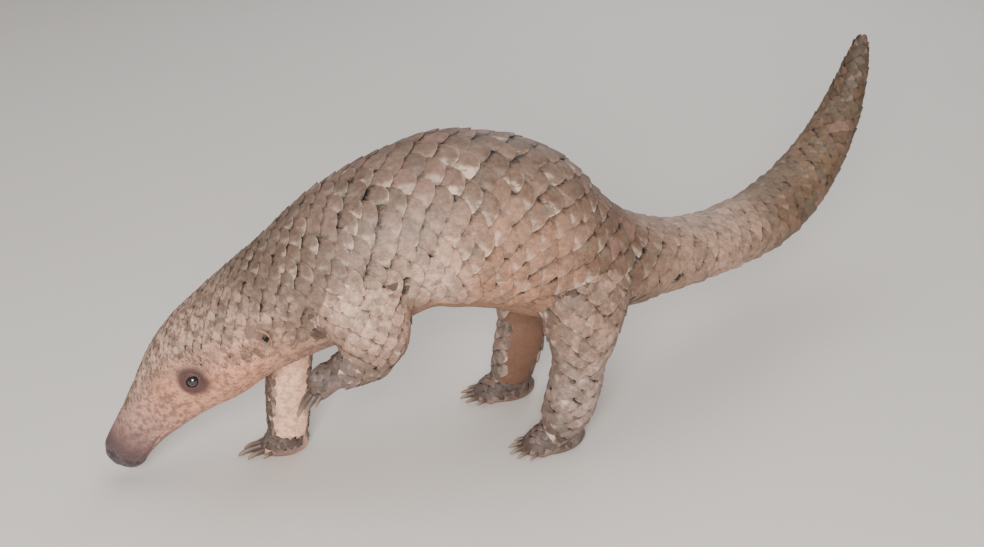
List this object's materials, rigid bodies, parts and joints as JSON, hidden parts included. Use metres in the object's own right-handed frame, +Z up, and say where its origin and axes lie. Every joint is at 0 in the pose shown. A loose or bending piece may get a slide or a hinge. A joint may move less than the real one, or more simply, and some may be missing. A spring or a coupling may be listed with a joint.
{
  "type": "pangolin",
  "caption": "Life-size still model of a pangolin walking with its head low, one forefoot lifted and its tail raised behind; rests on three soles.",
  "frame": {"origin": "centre of the animal's box at floor level", "axes": "+Z up, head towards -X, tail towards +X, the animal's left side towards -Y"},
  "size_m": [0.758, 0.2594, 0.2703],
  "materials": {
    "scale": "dull keratin scales, grey-brown with paler worn edges",
    "skin": "soft bare skin, pinkish beige with grey-mauve mottling",
    "nose_pad": "moist dark purple-grey nose leather",
    "claw": "dark horn claws, worn paler at the tips",
    "eye": "wet dark eye"
  },
  "bodies": {
    "root": {"ear_left": "skin", "ear_right": "skin", "eye_left": "eye", "eye_right": "eye", "front_left_claw_1": "claw", "front_left_claw_2": "claw", "front_left_claw_3": "claw", "front_left_claw_4": "claw", "front_left_claw_5": "claw", "front_left_foot": "skin", "front_left_lower": "scale", "front_left_upper": "scale", "front_right_claw_1": "claw", "front_right_claw_2": "claw", "front_right_claw_3": "claw", "front_right_claw_4": "claw", "front_right_claw_5": "claw", "front_right_foot": "skin", "front_right_lower": "scale", "front_right_upper": "scale", "head": "scale", "hind_left_claw_1": "claw", "hind_left_claw_2": "claw", "hind_left_claw_3": "claw", "hind_left_claw_4": "claw", "hind_left_claw_5": "claw", "hind_left_foot": "skin", "hind_left_lower": "scale", "hind_left_upper": "scale", "hind_right_claw_1": "claw", "hind_right_claw_2": "claw", "hind_right_claw_3": "claw", "hind_right_claw_4": "claw", "hind_right_claw_5": "claw", "hind_right_foot": "skin", "hind_right_lower": "scale", "hind_right_upper": "scale", "jaw": "skin", "neck": "scale", "nose": "nose_pad", "tail_base": "scale", "tail_end": "scale", "tail_middle": "scale", "tail_tip": "scale", "torso_front": "scale", "torso_middle": "scale", "torso_rear": "scale"}
  },
  "joints": []
}
